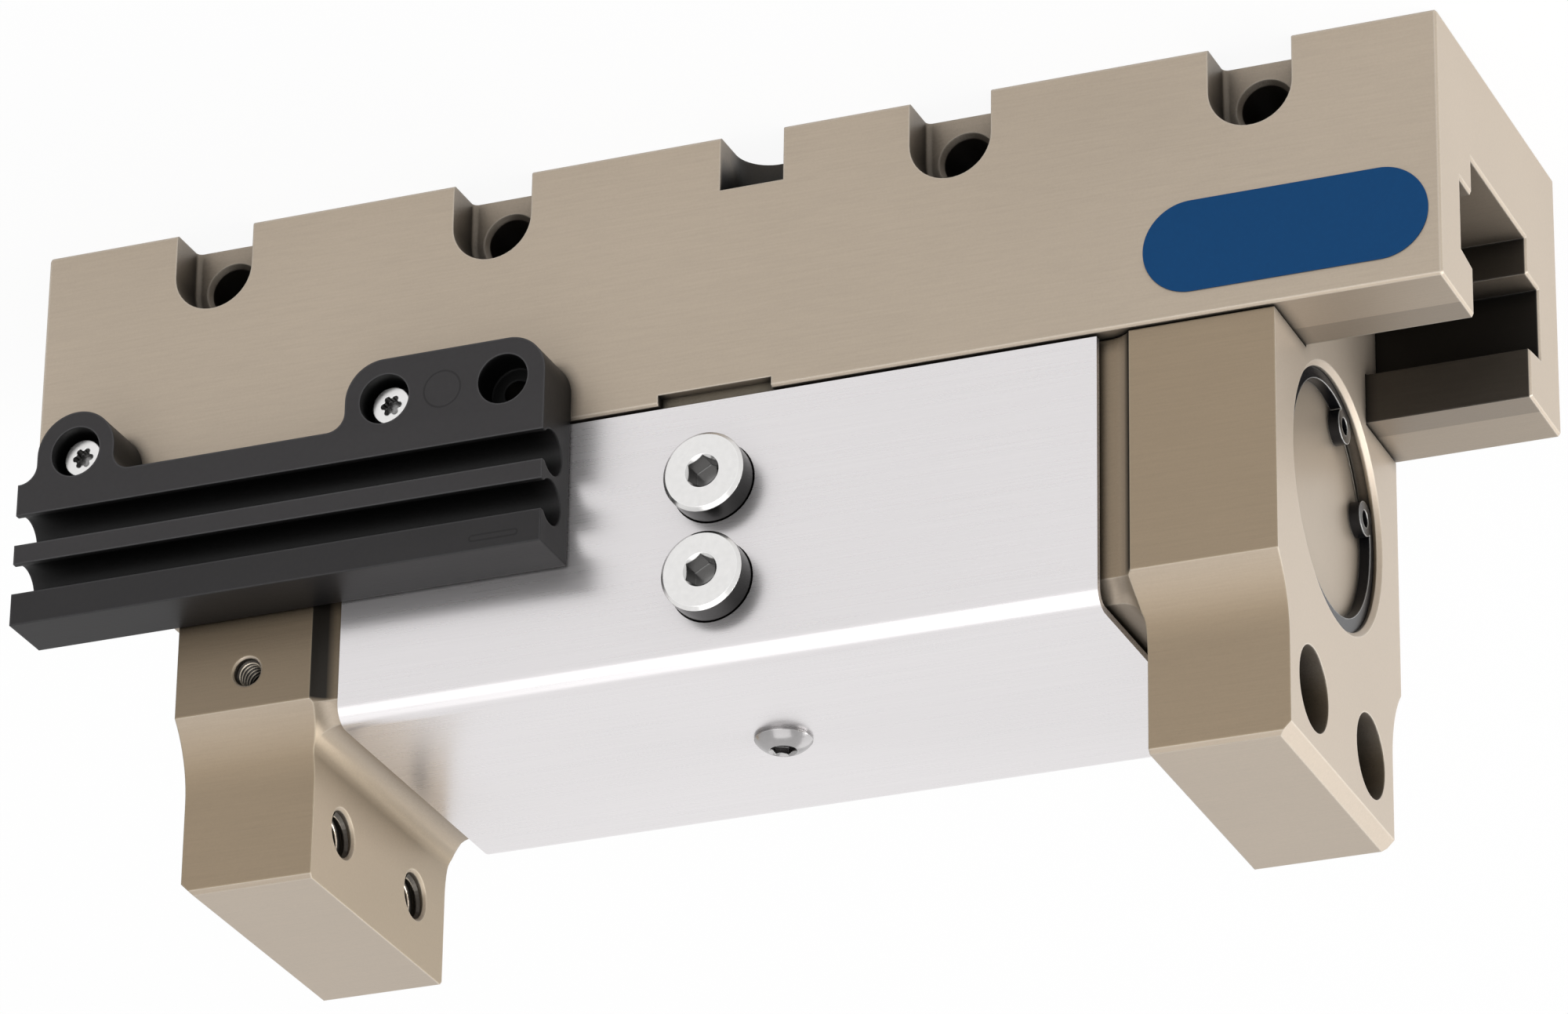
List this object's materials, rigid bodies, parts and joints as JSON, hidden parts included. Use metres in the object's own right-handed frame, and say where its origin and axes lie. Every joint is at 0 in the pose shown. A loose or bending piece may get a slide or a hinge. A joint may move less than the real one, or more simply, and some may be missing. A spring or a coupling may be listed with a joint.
{
  "type": "long-stroke parallel gripper for small parts",
  "caption": "Pneumatic parallel gripper: two jaws slide in a T-slot rail under a bent sheet cover, each over its own fixed piston, kept in step by a pinion and racks.",
  "frame": {"origin": "centre of the rail's mounting face", "axes": "+Z from the mounting face towards the ends of the jaws, X along the jaws' travel, -Y towards the port plugs and the sensor bracket"},
  "size_m": [0.1254, 0.0374, 0.0603],
  "materials": {
    "anodised": "hard anodised, champagne",
    "cap_anodised": "turned and anodised",
    "sheet": "brushed stainless sheet",
    "nickel": "polished nickel",
    "steel": "machined steel",
    "block": "machined",
    "black_steel": "black phosphated",
    "black_plastic": "matt moulded",
    "seal": "matt",
    "bronze": "sintered",
    "magnet": "nickel coated"
  },
  "bodies": {
    "housing": {"guide_rail": "anodised", "centre_block": "block", "clamping_nut": "steel", "block_screws": "steel", "cover": "sheet", "cover_screw": "nickel", "port_plugs": "nickel", "plug_seals": "seal", "sensor_bracket": "black_plastic", "bracket_screws": "nickel", "pinion_pin": "steel", "piston_rod": "nickel", "rod_set_screw": "steel", "rod_nuts": "steel", "piston_right": "block", "piston_left": "block", "piston_seal_right": "seal", "piston_seal_left": "seal"},
    "sync_pinion": {"pinion": "steel"},
    "right_jaw": {"base_jaw_right": "anodised", "end_cap_right": "cap_anodised", "cap_seal_right": "seal", "circlip_right": "black_steel", "rod_bush_right": "bronze", "rod_seal_right": "seal", "magnet_right": "magnet", "rack_right": "steel", "rack_screws_right": "steel"},
    "left_jaw": {"base_jaw_left": "anodised", "end_cap_left": "cap_anodised", "cap_seal_left": "seal", "circlip_left": "black_steel", "rod_bush_left": "bronze", "rod_seal_left": "seal", "magnet_left": "magnet", "rack_left": "steel", "rack_screws_left": "steel"}
  },
  "joints": [
    {"name": "right_jaw_slide", "type": "slide", "parent": "housing", "child": "right_jaw", "axis": [1, 0, 0], "range_m": [0, 0.02]},
    {"name": "left_jaw_slide", "type": "slide", "parent": "housing", "child": "left_jaw", "axis": [-1, 0, 0], "range_m": [0, 0.02]},
    {"name": "pinion_turn", "type": "hinge", "parent": "housing", "child": "sync_pinion", "pos_m": [0, 0, 0.0112], "axis": [0, 0, -1], "range_deg": [0, 287]}
  ],
  "couplings": [
    {"joint": "left_jaw_slide", "follows": "right_jaw_slide", "ratio": 1},
    {"joint": "pinion_turn", "follows": "right_jaw_slide", "rad_per_m": 250}
  ]
}
